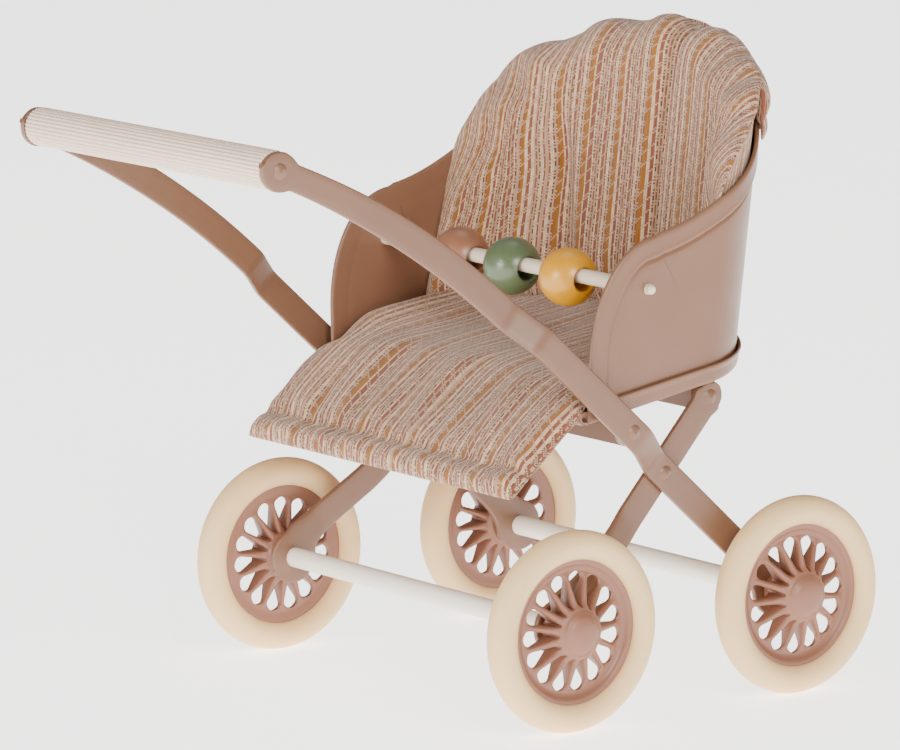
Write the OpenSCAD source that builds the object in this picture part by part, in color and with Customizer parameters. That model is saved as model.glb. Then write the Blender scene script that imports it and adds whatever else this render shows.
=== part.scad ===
// Doll stroller: a small toy pushchair with a pressed-metal seat bucket, crossed strip legs,
// four spoked wheels on two turning axle rods, a fluted handle grip, a bead bar and a sewn pad.
// The floor is z = 0. +Y points away from the handle, +X is the right-hand side of that direction.
// Side-view places below are in the body's own frame. place() moves them by y_shift and lift, so that
// the tyres stand on the floor and the origin lies under the middle of the whole stroller.

/* [Wheels] */
// Outside diameter of a tyre
tyre_d = 33.4; // [31:0.2:36]
// Diameter of the round tyre section
tyre_section = 5; // [4.6:0.1:5.6]
// Diameter of the rim disc that the tyre grips
rim_d = 24; // [22:0.2:25]
// Number of teardrop openings in a rim
rim_openings = 15; // [9:1:17]
// Diameter of the domed wheel hub
hub_d = 7.3; // [6.4:0.1:8]
// Distance between the left and right wheel planes
track = 81.4; // [81:0.1:86]
// Distance between the front and rear axles
wheelbase = 47.4; // [44:0.2:52]
// Diameter of an axle rod
axle_d = 3.4; // [3:0.1:3.6]

/* [Frame] */
// Width of the metal strip of the arms and legs
strip_w = 5; // [4.4:0.1:5.6]
// Thickness of that strip
strip_t = 1.1; // [0.8:0.1:1.3]
// Outside radius of the eyelet round an axle
eyelet_r = 4.5; // [4:0.1:5]
// Slope of the straight part of a handle arm, in degrees
arm_slope = 42.2; // [40:0.2:44]
// Radius of the bend in the upper part of a handle arm
arm_bend_r = 150; // [130:5:180]
// How far that bend turns, in degrees
arm_bend_turn = 20.4; // [18:0.2:22]
// Distance from the middle plane to the outside of an arm, at the handle
arm_x_handle = 34.5; // [34:0.1:35.6]
// The same, beside the seat
arm_x_seat = 38.9; // [38.7:0.1:39.4]
// The same, at the rear axle
arm_x_axle = 35.6; // [35.3:0.1:35.7]

/* [Handle] */
// Diameter of the fluted grip
grip_d = 6.4; // [5.6:0.1:7]
// Number of flutes round the grip
grip_flutes = 30; // [20:1:36]

/* [Seat] */
// Half of the width of the seat bucket at the pan
seat_half_w = 36.4; // [35.5:0.1:36.5]
// How far the rounded back reaches behind its straight sides
seat_round = 19.4; // [17:0.2:22]
// Tilt of the pan, front edge down, in degrees
seat_tilt = 9.1; // [7:0.1:10]
// Height of the rim band round the pan
rim_band = 3.2; // [2.8:0.1:3.6]
// Thickness of the seat metal
seat_t = 0.5; // [0.4:0.1:0.8]
// Height of the top of the backrest above the floor
back_top_z = 107.3; // [101:0.1:112]
// Diameter of the bead bar
bar_d = 2.5; // [2.2:0.1:2.8]
// Diameter of a bead
bead_d = 9.8; // [9:0.1:10.4]
// Diameter of the hole through a bead
bead_hole_d = 3.9; // [3.4:0.1:4.2]

/* [Hidden] */
$fn = 64;

paint = "#b29384";
rim_paint = "#bd9383";
cream = "#e6dccb";
tyre_cream = "#dfcfb2";
cloth = "#c9ad97";
cut = 1;

// Axles and wheels
axle_z = 15.94;
lift = tyre_d / 2 - axle_z;
front_axle_y = 1.6 - wheelbase / 2;
rear_axle_y = 1.6 + wheelbase / 2;
wheel_x = track / 2;
rim_r = rim_d / 2;
hub_r = hub_d / 2;
tyre_ring_r = (tyre_d - tyre_section) / 2;
rim_edge_half = 0.95;
opening_outer_r = 0.83 * rim_r;
opening_tip_r = hub_r + 0.5;
opening_wide_r = 1.3;
opening_narrow_r = 0.3;
hub_back = 3.1;
hub_front = 2.85;
hub_dome = 1.15;
axle_end = 2;
dome_sphere_r = (hub_r * hub_r + hub_dome * hub_dome) / (2 * hub_dome);
running_gap = 0.08;
spacer_r = 2.8;

// Handle arm, side view: an arc from the handle that runs into a straight strip
arm_straight_y = -30;
arm_line_y = 24.7;
arm_line_z = 17.5;
arm_straight_z = arm_line_z + (arm_line_y - arm_straight_y) * tan(arm_slope);
arc_y = arm_straight_y - arm_bend_r * sin(arm_slope);
arc_z = arm_straight_z - arm_bend_r * cos(arm_slope);
arc_start = 90 - arm_slope;
handle_y = arc_y + arm_bend_r * cos(arc_start + arm_bend_turn) + 0.3;
handle_z = arc_z + arm_bend_r * sin(arc_start + arm_bend_turn);
arm_x_inner = arm_x_seat - strip_t;
arm_x_step = 35.8;
arm_w_handle = 4.3;
arm_widens = 25;
upper_step = [-32, -25];
lower_step = [-5.5, -0.5];
seat_rivet_y = -7.6;
seat_rivet_z = arm_line_z + (arm_line_y - seat_rivet_y) * tan(arm_slope);

// Legs: from the rear of the seat, through the crossing, forward and down to the front axle
leg_x = arm_x_axle - strip_t - 0.1;
leg_top = [12, 49.9];
leg_bend = [-6.6, 29.4];
leg_foot = [front_axle_y - 0.3, axle_z + 1.62];
leg_x_foot = 37.3;
leg_splay = [-5, -16.5];
flare = [-15.9, 16.66];
leg_rate = (leg_top[1] - leg_bend[1]) / (leg_top[0] - leg_bend[0]);
crossing_y = (arm_line_z + arm_line_y * tan(arm_slope) - leg_bend[1] + leg_bend[0] * leg_rate)
    / (leg_rate + tan(arm_slope));
crossing = [crossing_y, arm_line_z + (arm_line_y - crossing_y) * tan(arm_slope)];
rivet_r = 1.05;
rivet_head_h = 0.45;

// Seat
rim_top_z0 = 54;
seat_round_y = 10.6;
seat_front_y = -14.4;
seat_back_y = seat_round_y + seat_round;
tilt_rate = tan(seat_tilt);
curl_r = 1.2;
curl_y = seat_front_y - curl_r - 0.05;
curl_z = rim_top_z0 - rim_band / cos(seat_tilt) + seat_front_y * tilt_rate + curl_r - 0.16;

// Shell: how far it leans back and widens for each millimetre of height above shell_base_z
lean = 0.091;
spread = 0.03;
shell_base_z = 55;
shell_mid_z = 85;
shell_gap = 0.1;
armrest_z = 78.3;
wave_half = 64;
corner_w = 14;
corner_drop = 20;

// Bead bar across the bucket
bar_y = -2.6;
bar_z = 69.6;
bar_rivet_r = 0.9;
bead_x = [-14.3, -0.2, 15];

// Pad
pad_t = 4.2;
flap_tip = [-31, 37.6];
flap_half_w = 35.6;
back_pad_t = 6;
back_pad_reach = 46;
back_pad_low_z = 62;
back_pad_side_z = 80;
back_pad_top_z = 108.4;
hood_reach = 32;
hood_hem_z = 92;

// The stroller's ends, and the shift that puts the origin under its middle
y_front = handle_y - grip_d / 2;
y_rear = rear_axle_y + tyre_d / 2;
y_shift = -(y_front + y_rear) / 2;

module place() {
    translate([0, y_shift, lift]) children();
}

// Turns a shape drawn about Z so that its axis runs along X at a side-view place
module across(y, z) {
    translate([0, y, z]) rotate([0, 90, 0]) children();
}

// A solid bar along X with both ends given
module x_rod(x1, x2, y, z, r) {
    translate([x1, y, z]) rotate([0, 90, 0]) cylinder(r = r, h = x2 - x1);
}

// A plate in a side-view plane: its outline is drawn in (y, z) and it fills x1 to x2
module side_plate(x1, x2) {
    translate([x1, 0, 0]) rotate([90, 0, 90]) linear_extrude(x2 - x1) children();
}

// A solid whose closed section changes from column to column: sections[i] is a list of 3-D points
module loft(sections) {
    n = len(sections);
    m = len(sections[0]);
    skin = [for (i = [0:n - 2], k = [0:m - 1])
        [i * m + k, i * m + (k + 1) % m, (i + 1) * m + (k + 1) % m, (i + 1) * m + k]];
    polyhedron(points = [for (s = sections) each s], convexity = 8,
        faces = concat([[for (k = [m - 1:-1:0]) k]], skin, [[for (k = [0:m - 1]) (n - 1) * m + k]]));
}

// ---- Handle arms ----

function smooth(t) = let (c = min(max(t, 0), 1)) c * c * (3 - 2 * c);

// Outside face of an arm at side-view place y: stepped out beside the seat, in again at the axle
function arm_x(y) =
    arm_x_handle + (arm_x_step - arm_x_handle) * min(1, (y - handle_y) / (upper_step[0] - handle_y))
    + (arm_x_seat - arm_x_step) * smooth((y - upper_step[0]) / (upper_step[1] - upper_step[0]))
    - (arm_x_seat - arm_x_axle) * smooth((y - lower_step[0]) / (lower_step[1] - lower_step[0]));

function line_z(y) = arm_line_z + (arm_line_y - y) * tan(arm_slope);
function steps(a, b, n) = [for (i = [0:n]) a + (b - a) * i / n];

arm_arc = [for (a = steps(arc_start + arm_bend_turn, arc_start, 9))
    [arc_y + arm_bend_r * cos(a), arc_z + arm_bend_r * sin(a)]];
arm_line = [for (y = concat(steps(-28.5, -24, 3), steps(lower_step[0], lower_step[1], 5), [arm_line_y - 1]))
    [y, line_z(y)]];
arm_path = concat(arm_arc, arm_line);

function unit(v) = v / norm(v);
function path_dir(p, i) = unit(p[min(i + 1, len(p) - 1)] - p[max(i - 1, 0)]);
function path_side(p, i) = let (d = path_dir(p, i)) [-d[1], d[0]];

// Half of the strip's width: an arm narrows a little towards the handle
function arm_half_w(y) = (arm_w_handle + (strip_w - arm_w_handle) * smooth((y - handle_y) / arm_widens)) / 2;

// Strip section at point i of a side-view path, with its outside face at x
function strip_section(path, i, x, half_w) = let (p = path[i], s = path_side(path, i) * half_w) [
    [x, p[0] + s[0], p[1] + s[1]], [x - strip_t, p[0] + s[0], p[1] + s[1]],
    [x - strip_t, p[0] - s[0], p[1] - s[1]], [x, p[0] - s[0], p[1] - s[1]]];

module arm_strip() {
    loft([for (i = [0:len(arm_path) - 1])
        strip_section(arm_path, i, arm_x(arm_path[i][0]), arm_half_w(arm_path[i][0]))]);
}

module handle_arm() {
    difference() {
        union() {
            arm_strip();
            side_plate(arm_x_handle - strip_t, arm_x_handle) translate([handle_y, handle_z]) circle(d = grip_d);
            side_plate(arm_x_axle - strip_t, arm_x_axle) {
                translate([rear_axle_y, axle_z]) circle(r = eyelet_r);
                polygon([[rear_axle_y, axle_z - 2], [rear_axle_y - 7.2, axle_z + 1.4],
                         [rear_axle_y - 10.1, axle_z + 5.4], [rear_axle_y, axle_z + 2]]);
            }
        }
        x_rod(arm_x_handle - strip_t - cut, arm_x_handle + cut, handle_y, handle_z, rivet_r);
        x_rod(arm_x_axle - strip_t - cut, arm_x_axle + cut, rear_axle_y, axle_z, axle_d / 2 + running_gap);
        x_rod(arm_x_seat - strip_t - cut, arm_x_seat + cut, seat_rivet_y, seat_rivet_z, rivet_r);
        x_rod(arm_x_axle - strip_t - cut, arm_x_axle + cut, crossing[0], crossing[1], rivet_r);
    }
}

module handle_arm_right() {
    color(paint) place() handle_arm();
}

module handle_arm_left() {
    color(paint) place() mirror([1, 0, 0]) handle_arm();
}

// ---- Legs ----

leg_path = concat([leg_top, [2, leg_bend[1] + (2 - leg_bend[0]) * leg_rate]],
    [for (y = concat([-4, leg_bend[0], -9, -13], [leg_splay[1], leg_foot[0]])) [y, leg_z(y)]]);

function leg_z(y) = y > leg_bend[0] ? leg_bend[1] + (y - leg_bend[0]) * leg_rate
    : leg_bend[1] - (leg_bend[0] - y) * (leg_bend[1] - leg_foot[1]) / (leg_bend[0] - leg_foot[0]);

// Outside face of a leg at side-view place y: below the bend it splays out towards the wheel
function leg_outer(y) = leg_x
    + (leg_x_foot - leg_x) * min(1, max(0, (leg_splay[0] - y) / (leg_splay[0] - leg_splay[1])));

module leg() {
    difference() {
        union() {
            loft([for (i = [0:len(leg_path) - 1])
                strip_section(leg_path, i, leg_outer(leg_path[i][0]), strip_w / 2)]);
            side_plate(leg_x - strip_t, leg_x) translate(leg_top) circle(r = strip_w / 2 + 0.1);
            side_plate(leg_x_foot - strip_t, leg_x_foot) {
                translate([front_axle_y, axle_z]) circle(r = eyelet_r);
                polygon([[front_axle_y, axle_z - 2], flare, [-13.9, 21.4], [front_axle_y, axle_z + 3]]);
            }
        }
        x_rod(leg_x_foot - strip_t - cut, leg_x_foot + cut, front_axle_y, axle_z, axle_d / 2 + running_gap);
        x_rod(leg_x - strip_t - cut, leg_x + cut, leg_top[0], leg_top[1], rivet_r);
        x_rod(leg_x - strip_t - cut, leg_x + cut, crossing[0], crossing[1], rivet_r);
    }
}

module leg_right() {
    color(paint) place() leg();
}

module leg_left() {
    color(paint) place() mirror([1, 0, 0]) leg();
}

// ---- Crossbars under the pan, with a flange that the pan is riveted to ----

function pan_under_z(y) = rim_top_z0 - rim_band / cos(seat_tilt) + y * tilt_rate;
flange_w = 5;
flange_t = 0.8;
pan_rivet_x = 22;

module crossbar(half_len, y, z, bore_side) {
    top = pan_under_z(y) - 0.02;
    difference() {
        union() {
            translate([-half_len, y - strip_t / 2, z - strip_w / 2])
                cube([2 * half_len, strip_t, top - z + strip_w / 2 - 0.3]);
            translate([0, y, top]) rotate([seat_tilt, 0, 0])
                translate([-half_len + 3, -flange_w / 2, -flange_t]) cube([2 * half_len - 6, flange_w, flange_t]);
            for (s = [-1, 1])
                across(y, z) translate([0, 0, s * (half_len - strip_t / 2) - strip_t / 2])
                    cylinder(d = strip_w, h = strip_t);
        }
        for (s = [-1, 1]) {
            x_rod(s * half_len - 3, s * half_len + 3, y, z, rivet_r);
            translate([s * pan_rivet_x, y, top]) rotate([seat_tilt, 0, 0])
                translate([0, 0, -flange_t - cut]) cylinder(r = rivet_r, h = flange_t + 2 * cut);
        }
    }
}

module front_crossbar() {
    color(paint) place() crossbar(arm_x_inner, seat_rivet_y, seat_rivet_z);
}

module rear_crossbar() {
    color(paint) place() crossbar(leg_x - strip_t, leg_top[0], leg_top[1]);
}

// ---- Handle ----

grip_half_len = arm_x_handle - strip_t - 0.35;
rod_r = 1.6;

module handle_rod() {
    color("silver") place() {
        x_rod(-arm_x_handle + strip_t, arm_x_handle - strip_t, handle_y, handle_z, rod_r);
        x_rod(-arm_x_handle, arm_x_handle, handle_y, handle_z, rivet_r);
    }
}

// Rivet heads that hold the handle's rod to the arms
module handle_rod_heads() {
    color(paint) place()
        for (s = [-1, 1]) translate([s * arm_x_handle, handle_y, handle_z]) rivet_head(s);
}

module handle_grip() {
    flute_r = 0.24;
    color(cream) place() difference() {
        x_rod(-grip_half_len, grip_half_len, handle_y, handle_z, grip_d / 2);
        for (i = [0:grip_flutes - 1])
            across(handle_y, handle_z) rotate(i * 360 / grip_flutes)
                translate([grip_d / 2 + 0.08, 0, -grip_half_len - cut])
                    cylinder(r = flute_r, h = 2 * (grip_half_len + cut), $fn = 16);
        x_rod(-grip_half_len - cut, grip_half_len + cut, handle_y, handle_z, rod_r + running_gap);
    }
}

// ---- Rivets ----

// A low domed head that stands out of a side face towards +X (s = 1) or -X (s = -1)
module rivet_head(s) {
    edge_r = rivet_r * 1.25;
    dome_r = (edge_r * edge_r + rivet_head_h * rivet_head_h) / (2 * rivet_head_h);
    rotate([0, s * 90, 0]) intersection() {
        translate([0, 0, rivet_head_h - dome_r]) sphere(r = dome_r);
        cylinder(r = edge_r, h = rivet_head_h);
    }
}

// A headed pin through the strips on each side, from x1 to x2
module side_rivets(x1, x2, at) {
    for (s = [-1, 1]) mirror([s < 0 ? 1 : 0, 0, 0]) {
        x_rod(x1, x2, at[0], at[1], rivet_r);
        translate([x2, at[0], at[1]]) rivet_head(1);
        translate([x1, at[0], at[1]]) rivet_head(-1);
    }
}

module arm_rivets() {
    color(paint) place()
        side_rivets(arm_x_inner - strip_t, arm_x_seat, [seat_rivet_y, seat_rivet_z]);
}

module leg_rivets() {
    color(paint) place() side_rivets(leg_x - 2 * strip_t, leg_x, leg_top);
}

module crossing_rivets() {
    color(paint) place() side_rivets(leg_x - strip_t, arm_x_axle, crossing);
}

module pan_rivets() {
    color(paint) place()
        for (y = [seat_rivet_y, leg_top[0]], s = [-1, 1])
            translate([s * pan_rivet_x, y, pan_under_z(y)]) rotate([seat_tilt, 0, 0])
                translate([0, 0, -flange_t]) cylinder(r = rivet_r, h = flange_t + seat_t);
}

// ---- Seat pan ----

// D-shaped outline as (x, y): straight sides and, behind them, half an ellipse
function seat_arc(inset, n) = [for (t = steps(0, 180, n))
    [(seat_half_w - inset) * cos(t), seat_round_y + (seat_round - inset) * sin(t)]];

module seat_2d(inset, front) {
    polygon(concat([[-(seat_half_w - inset), front], [seat_half_w - inset, front]], seat_arc(inset, 40)));
}

// The pan's wall follows the foot of the shell, just outside it
module pan_wall() {
    loft([for (c = columns(girth_end + 1)) let (
            lo = pan_under_z(place_on_shell(c[0], c[1], rim_top_z0, 0)[1]),
            hi = lo + rim_band / cos(seat_tilt))
        [for (p = [[-shell_gap - seat_t, lo], [-shell_gap, lo], [-shell_gap, hi], [-shell_gap - seat_t, hi]])
            place_on_shell(c[0], c[1], p[1], p[0])]]);
}

// The pan's floor reaches into the wall and, in front, into the rolled edge
module pan_floor() {
    edge = [for (i = [1:len(half_columns) - 1]) let (
            y = place_on_shell(1, half_columns[i], rim_top_z0, 0)[1],
            p = place_on_shell(1, half_columns[i], pan_under_z(y), -shell_gap - seat_t / 2)) [p[0], p[1]]];
    stations = concat(edge, [[edge[len(edge) - 1][0], seat_front_y - 0.6]]);
    loft([for (e = stations) let (lo = pan_under_z(e[1]) + 0.05, hi = lo + seat_t)
        [[-e[0], e[1], lo], [-e[0], e[1], hi], [e[0], e[1], hi], [e[0], e[1], lo]]]);
}

// The pan's floor, its rim band round the sides and back, and the rolled front edge
module seat_pan() {
    color(paint) place() {
        difference() {
            union() {
                pan_wall();
                pan_floor();
            }
            for (y = [seat_rivet_y, leg_top[0]], s = [-1, 1])
                translate([s * pan_rivet_x, y, pan_under_z(y)]) rotate([seat_tilt, 0, 0])
                    translate([0, 0, -cut]) cylinder(r = rivet_r, h = 2 * cut);
        }
        difference() {
            x_rod(-seat_half_w + 0.2, seat_half_w - 0.2, curl_y, curl_z, curl_r);
            x_rod(-seat_half_w - cut, seat_half_w + cut, curl_y, curl_z, curl_r - seat_t);
        }
    }
}

// ---- Seat shell ----

// Columns of the bent sheet from the left front corner round the back to the right front corner.
// Each is [side, t]: t from 0 to 90 is an angle round the back, beyond 90 it runs forward along a side.
side_steps = 9;
round_steps = 18;
half_columns = concat(steps(0, 90, round_steps), [for (q = steps(0.11, 1, side_steps - 1)) 90 + q]);

function place_on_shell(side, t, z, inset) = let (
        rise = z - shell_base_z,
        a = seat_half_w - seat_t - shell_gap - inset + spread * rise,
        b = seat_round - seat_t - shell_gap - inset + spread * rise,
        y0 = seat_round_y + lean * rise,
        q = max(t - 90, 0),
        ang = min(t, 90))
    [side * a * sin(ang), y0 + b * cos(ang) + (seat_front_y - y0) * q, z];

// Distance of each column from the middle of the back, measured round the sheet at mid height
mid_places = [for (t = half_columns) place_on_shell(1, t, shell_mid_z, 0)];
mid_girths = [for (i = 0, s = 0; i < len(mid_places);
    s = s + (i + 1 < len(mid_places) ? norm(mid_places[i + 1] - mid_places[i]) : 0), i = i + 1) s];
girth_end = mid_girths[len(mid_girths) - 1];

// Top edge of the sheet: a wave that falls from the backrest to the armrests, then a rounded corner
function shell_top(g) = let (
        wave = (1 + cos(min(180 * g / wave_half, 180))) / 2,
        c = max(0, (g - girth_end + corner_w) / corner_w))
    armrest_z + (back_top_z - lift - armrest_z) * wave - corner_drop * (1 - sqrt(max(0, 1 - c * c)));

function shell_bottom(side, t) = let (p = place_on_shell(side, t, shell_base_z, 0))
    rim_top_z0 + p[1] * tilt_rate - rim_band + seat_t + 0.15;

// All columns up to a girth distance, as [side, t, girth] from left to right
function columns(reach) = let (k = [for (i = [0:len(mid_girths) - 1]) if (mid_girths[i] <= reach) i])
    concat([for (i = [len(k) - 1:-1:1]) [-1, half_columns[k[i]], mid_girths[k[i]]]],
           [for (i = [0:len(k) - 1]) [1, half_columns[k[i]], mid_girths[k[i]]]]);

module seat_shell() {
    color(paint) place() difference() {
        loft([for (c = columns(girth_end + 1)) let (lo = shell_bottom(c[0], c[1]), hi = shell_top(c[2])) [
            place_on_shell(c[0], c[1], lo, 0), place_on_shell(c[0], c[1], lo, seat_t),
            place_on_shell(c[0], c[1], (lo + hi) / 2, seat_t), place_on_shell(c[0], c[1], hi, seat_t),
            place_on_shell(c[0], c[1], hi, 0), place_on_shell(c[0], c[1], (lo + hi) / 2, 0)]]);
        x_rod(-seat_half_w - 3, seat_half_w + 3, bar_y, bar_z, bar_rivet_r);
    }
}

// Rivets that pin the lower edge of the shell to the pan's rim band
module shell_rivets() {
    x = seat_half_w - seat_t - shell_gap;
    color(paint) place() for (s = [-1, 1], y = [-10, 6])
        mirror([s < 0 ? 1 : 0, 0, 0])
            x_rod(x - 2 * seat_t, seat_half_w, y, rim_top_z0 + y * tilt_rate - rim_band / 2, 0.6);
}

// ---- Bead bar ----

bar_half_len = seat_half_w - seat_t - shell_gap - seat_t + spread * (bar_z - shell_base_z) - 0.1;

module bead_bar() {
    color(cream) place() {
        x_rod(-bar_half_len, bar_half_len, bar_y, bar_z, bar_d / 2);
        x_rod(-bar_half_len - seat_t - 0.2, bar_half_len + seat_t + 0.2, bar_y, bar_z, bar_rivet_r);
    }
}

// Round heads outside the shell that hold the bar
module bead_bar_heads() {
    color("silver") place() for (s = [-1, 1])
        translate([s * (bar_half_len + seat_t + 0.2), bar_y, bar_z]) rotate([0, s * 90, 0])
            rotate_extrude() polygon([[0, 0], [0.8, 0], [0.8, 0.8], [0.5, 1.2], [0, 1.3]]);
}

// A round bead with a hole much wider than the bar, hanging from it
module bead(x, tint) {
    z = bar_z - (bead_hole_d - bar_d) / 2 + running_gap;
    color(tint) place() translate([x, bar_y, z]) rotate([0, 90, 0]) rotate_extrude() difference() {
        circle(d = bead_d);
        translate([-bead_d, -bead_d]) square([bead_d + bead_hole_d / 2, 2 * bead_d]);
    }
}

module bead_pink() {
    bead(bead_x[0], "#cfa595");
}

module bead_green() {
    bead(bead_x[1], "#7d9a7c");
}

module bead_yellow() {
    bead(bead_x[2], "#d9a441");
}

// ---- Pad ----

// The seat part of the pad lies in the pan and hangs over its front edge as a flap
module seat_cushion() {
    floor_z = rim_top_z0 - rim_band + seat_t + 0.5;
    function floor_at(y) = floor_z + y * tilt_rate;
    front = seat_front_y - 2 * curl_r - 0.6;
    color(cloth) place() intersection() {
        side_plate(-seat_half_w, seat_half_w) polygon([
            [seat_back_y - 8, floor_at(seat_back_y - 8)], [seat_back_y - 8, floor_at(seat_back_y - 8) + pad_t],
            [4, floor_at(4) + pad_t + 0.6], [front - 1, floor_at(front) + pad_t - 0.6],
            [flap_tip[0] - 1.6, flap_tip[1] + 1.8], flap_tip,
            [curl_y - 2.2, curl_z - 0.4], [curl_y - 1.2, curl_z + 1.45],
            [curl_y + 1.2, curl_z + 1.6], [curl_y + 2.6, floor_at(curl_y + 2.6)]]);
        linear_extrude(back_top_z) union() {
            seat_2d(2.2, front);
            translate([-flap_half_w, flap_tip[0] - 3]) square([2 * flap_half_w, front - flap_tip[0] + 3]);
        }
    }
}

// Top edge of the padded back: it stands up above the shell's wave
function pad_top(g) = back_pad_side_z
    + (back_pad_top_z - back_pad_side_z) * sqrt(max(0, 1 - pow(g / back_pad_reach, 2)));

// The back part of the pad: a thick band inside the shell
module back_cushion() {
    in_face = seat_t + 0.4;
    color(cloth) place() loft([for (c = columns(back_pad_reach)) let (
            top = pad_top(c[2]),
            pad = back_pad_t * (c[2] < back_pad_reach - 6 ? 1 : 0.6))
        [for (p = [[in_face, back_pad_low_z], [pad, back_pad_low_z + 2],
                   [pad + 0.8, (back_pad_low_z + top) / 2], [pad, top - 3], [pad - 2, top], [in_face, top]])
            place_on_shell(c[0], c[1], p[1], p[0])]]);
}

// The pad's hood: cloth folded over the back of the pad and the top edge of the shell, hemmed behind it
module cushion_hood() {
    in_face = seat_t + 0.3;
    color(cloth) place() loft([for (c = columns(hood_reach)) let (
            edge = shell_top(c[2]),
            hem = min(edge - 0.8, hood_hem_z))
        [for (p = [[in_face, edge + 0.3], [in_face, pad_top(c[2]) + 0.2], [-0.5, pad_top(c[2])], [-1.4, edge + 1],
                   [-1.4, hem], [-0.4, hem], [-0.4, edge + 0.3]])
            place_on_shell(c[0], c[1], p[1], p[0])]]);
}

// ---- Axles and wheels ----

axle_half_len = wheel_x + axle_end;

module front_axle() {
    color(cream) place() x_rod(-axle_half_len, axle_half_len, front_axle_y, axle_z, axle_d / 2);
}

module rear_axle() {
    color(cream) place() x_rod(-axle_half_len, axle_half_len, rear_axle_y, axle_z, axle_d / 2);
}

// Sleeves that fill the space between the arms and the rear wheels
module rear_spacers() {
    color(rim_paint) place() for (s = [-1, 1]) mirror([s < 0 ? 1 : 0, 0, 0]) difference() {
        x_rod(arm_x_axle + 0.1, wheel_x - hub_back, rear_axle_y, axle_z, spacer_r);
        x_rod(arm_x_axle - cut, wheel_x, rear_axle_y, axle_z, axle_d / 2);
    }
}

// Rim drawn about Z with its outer face up: thin edge, ribs that deepen to a hub with a domed end
module rim() {
    difference() {
        union() {
            rotate_extrude() polygon([[0, -hub_back], [hub_r, -hub_back], [hub_r + 0.6, -2.1],
                [opening_outer_r + 0.1, -0.7], [rim_r - 0.9, -rim_edge_half], [rim_r, -rim_edge_half],
                [rim_r, rim_edge_half], [rim_r - 0.9, rim_edge_half], [opening_outer_r + 0.1, 0],
                [hub_r + 0.6, 2.2], [hub_r, hub_front], [0, hub_front]]);
            intersection() {
                translate([0, 0, hub_front + hub_dome - dome_sphere_r]) sphere(r = dome_sphere_r);
                translate([0, 0, hub_front]) cylinder(r = hub_r, h = hub_dome);
            }
        }
        for (i = [0:rim_openings - 1]) rotate(360 * i / rim_openings)
            translate([0, 0, -5]) linear_extrude(10) teardrop();
        translate([0, 0, -hub_back - cut]) cylinder(d = axle_d, h = hub_back + cut + axle_end);
    }
}

// One opening: a wide round end near the tyre that tapers to a narrow round end near the hub
module teardrop() {
    wide_x = opening_outer_r - opening_wide_r;
    narrow_x = opening_tip_r + opening_narrow_r;
    slant = asin((opening_wide_r - opening_narrow_r) / (wide_x - narrow_x));
    translate([wide_x, 0]) circle(r = opening_wide_r);
    translate([narrow_x, 0]) circle(r = opening_narrow_r);
    polygon([for (s = [-1, 1]) each [
        [wide_x - s * s * opening_wide_r * sin(slant), s * opening_wide_r * cos(slant)],
        [narrow_x - opening_narrow_r * sin(slant), s * opening_narrow_r * cos(slant)]]], [[0, 1, 3, 2]]);
}

module wheel_rim(side, y) {
    color(rim_paint) place() translate([side * wheel_x, y, axle_z]) rotate([0, side * 90, 0]) rim();
}

module tyre(side, y) {
    color(tyre_cream) place() translate([side * wheel_x, y, axle_z]) rotate([0, side * 90, 0]) difference() {
        rotate_extrude() translate([tyre_ring_r, 0]) circle(d = tyre_section);
        translate([0, 0, -tyre_section]) cylinder(r = rim_r, h = 2 * tyre_section);
    }
}

module wheel_rim_front_left() {
    wheel_rim(-1, front_axle_y);
}

module wheel_rim_front_right() {
    wheel_rim(1, front_axle_y);
}

module wheel_rim_rear_left() {
    wheel_rim(-1, rear_axle_y);
}

module wheel_rim_rear_right() {
    wheel_rim(1, rear_axle_y);
}

module tyre_front_left() {
    tyre(-1, front_axle_y);
}

module tyre_front_right() {
    tyre(1, front_axle_y);
}

module tyre_rear_left() {
    tyre(-1, rear_axle_y);
}

module tyre_rear_right() {
    tyre(1, rear_axle_y);
}

handle_arm_left();
handle_arm_right();
leg_left();
leg_right();
front_crossbar();
rear_crossbar();
handle_rod();
handle_grip();
handle_rod_heads();
seat_pan();
seat_shell();
shell_rivets();
pan_rivets();
arm_rivets();
leg_rivets();
crossing_rivets();
bead_bar();
bead_bar_heads();
bead_pink();
bead_green();
bead_yellow();
seat_cushion();
back_cushion();
cushion_hood();
front_axle();
rear_axle();
rear_spacers();
wheel_rim_front_left();
wheel_rim_front_right();
wheel_rim_rear_left();
wheel_rim_rear_right();
tyre_front_left();
tyre_front_right();
tyre_rear_left();
tyre_rear_right();
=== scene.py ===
"""Looks of a doll stroller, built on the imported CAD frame.

Lengths are in millimetres until a mesh is made. Side-view places (y, z) are in the body's own frame,
as in the CAD source, and moved by SHIFT along Y and LIFT along Z.
"""

import math

import bpy
import numpy as np
from mathutils import Matrix, Vector


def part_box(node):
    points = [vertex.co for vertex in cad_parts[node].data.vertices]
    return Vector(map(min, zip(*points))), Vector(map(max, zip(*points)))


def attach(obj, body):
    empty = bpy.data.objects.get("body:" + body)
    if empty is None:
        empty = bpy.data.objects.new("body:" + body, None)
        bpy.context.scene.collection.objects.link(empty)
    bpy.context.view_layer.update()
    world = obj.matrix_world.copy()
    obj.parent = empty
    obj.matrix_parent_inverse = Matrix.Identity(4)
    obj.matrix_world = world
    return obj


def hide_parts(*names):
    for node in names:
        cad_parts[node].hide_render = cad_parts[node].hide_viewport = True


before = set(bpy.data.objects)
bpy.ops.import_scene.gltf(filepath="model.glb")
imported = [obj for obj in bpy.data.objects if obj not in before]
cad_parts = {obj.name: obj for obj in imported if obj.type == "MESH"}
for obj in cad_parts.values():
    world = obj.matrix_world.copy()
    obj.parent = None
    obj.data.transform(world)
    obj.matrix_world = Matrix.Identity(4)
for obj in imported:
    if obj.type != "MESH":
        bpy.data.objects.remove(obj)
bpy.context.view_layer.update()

MM = 0.001
SIDES = {"left": -1, "right": 1}


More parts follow.
